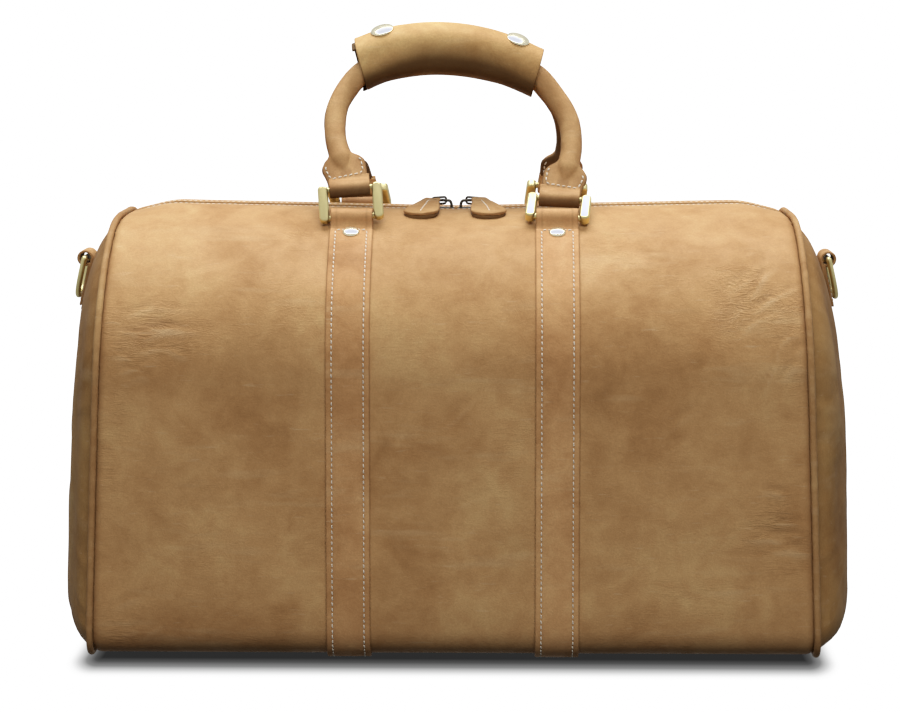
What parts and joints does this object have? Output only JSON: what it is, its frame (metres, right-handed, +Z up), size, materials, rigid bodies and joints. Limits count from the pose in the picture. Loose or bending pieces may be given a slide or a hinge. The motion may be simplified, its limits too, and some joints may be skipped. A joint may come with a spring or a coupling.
{
  "type": "duffel bag",
  "caption": "Arched leather weekend bag with piped bulging ends, straps that run under the base, rolled handles in a snap-closed grip, and a two-way zipper.",
  "frame": {"origin": "under the middle of the base, on the ground", "axes": "+X along the bag to the right seen from the front, +Y to the back, +Z up"},
  "size_m": [0.507, 0.2488, 0.4],
  "materials": {
    "body_leather": "matte, oiled, cloudy",
    "strap_leather": "matte, oiled",
    "brass": "satin antique",
    "dark_metal": "dark antique",
    "zipper_tape": "woven",
    "lining": "woven cotton",
    "board": "fibreboard",
    "cord": "twisted cotton"
  },
  "bodies": {
    "bag": {"front_panel": "body_leather", "back_panel": "body_leather", "end_panel_left": "body_leather", "end_panel_right": "body_leather", "piping_left": "body_leather", "piping_right": "body_leather", "lining": "lining", "base_board": "board", "slip_pocket": "lining", "strap_left": "strap_leather", "strap_right": "strap_leather", "rivet_front_left": "brass", "rivet_front_right": "brass", "rivet_back_left": "brass", "rivet_back_right": "brass", "zipper_tape_front": "zipper_tape", "zipper_tape_back": "zipper_tape", "zipper_teeth_front": "dark_metal", "zipper_teeth_back": "dark_metal", "end_tab_left": "strap_leather", "end_tab_right": "strap_leather"},
    "front_rings": {"ring_front_left": "brass", "ring_front_right": "brass"},
    "front_handle": {"handle_front": "strap_leather", "handle_core_front": "cord", "grip_wrap": "strap_leather", "snap_socket_left": "brass", "snap_socket_right": "brass"},
    "grip_flap": {"grip_flap": "strap_leather", "snap_cap_left": "brass", "snap_cap_right": "brass"},
    "back_rings": {"ring_back_left": "brass", "ring_back_right": "brass"},
    "back_handle": {"handle_back": "strap_leather", "handle_core_back": "cord"},
    "slider_left": {"slider_left": "dark_metal"},
    "slider_right": {"slider_right": "dark_metal"},
    "pull_left": {"pull_link_left": "dark_metal", "pull_tab_left": "strap_leather"},
    "pull_right": {"pull_link_right": "dark_metal", "pull_tab_right": "strap_leather"},
    "end_ring_left": {"end_ring_left": "brass"},
    "end_ring_right": {"end_ring_right": "brass"}
  },
  "joints": [
    {"name": "front_rings_swing", "type": "hinge", "parent": "bag", "child": "front_rings", "pos_m": [0, -0.06222, 0.27807], "axis": [1, 0, 0], "range_deg": [0, 110], "deforming": ["grip_wrap", "grip_flap"]},
    {"name": "front_handle_swing", "type": "hinge", "parent": "front_rings", "child": "front_handle", "pos_m": [0, -0.04997, 0.29217], "axis": [0.9969, 0.0595, -0.0517], "range_deg": [0, 30]},
    {"name": "back_rings_swing", "type": "hinge", "parent": "bag", "child": "back_rings", "pos_m": [0, 0.06222, 0.27807], "axis": [-1, 0, 0], "range_deg": [0, 110]},
    {"name": "back_handle_swing", "type": "hinge", "parent": "back_rings", "child": "back_handle", "pos_m": [0, 0.04716, 0.29026], "axis": [-0.9998, -0.0125, -0.0156], "range_deg": [0, 30]},
    {"name": "grip_flap_lift", "type": "hinge", "parent": "front_handle", "child": "grip_flap", "pos_m": [-0.005, -0.0187, 0.384], "axis": [0.9998, 0, -0.0188], "range_deg": [0, 110]},
    {"name": "slider_left_travel", "type": "slide", "parent": "bag", "child": "slider_left", "axis": [-0.9998, 0, 0.021], "range_m": [0, 0.165], "deforming": ["pull_tab_left"]},
    {"name": "slider_right_travel", "type": "slide", "parent": "bag", "child": "slider_right", "axis": [0.9998, 0, 0.021], "range_m": [0, 0.165], "deforming": ["pull_tab_right"]},
    {"name": "pull_left_swing", "type": "hinge", "parent": "slider_left", "child": "pull_left", "pos_m": [-0.0085, 0, 0.28488], "axis": [-1, 0, 0], "range_deg": [0, 160]},
    {"name": "pull_right_swing", "type": "hinge", "parent": "slider_right", "child": "pull_right", "pos_m": [0.0085, 0, 0.28488], "axis": [-1, 0, 0], "range_deg": [0, 160]},
    {"name": "end_ring_left_swing", "type": "hinge", "parent": "bag", "child": "end_ring_left", "pos_m": [-0.24549, 0, 0.247], "axis": [0, 1, 0], "range_deg": [0, 140]},
    {"name": "end_ring_right_swing", "type": "hinge", "parent": "bag", "child": "end_ring_right", "pos_m": [0.24549, 0, 0.247], "axis": [0, -1, 0], "range_deg": [0, 140]}
  ]
}
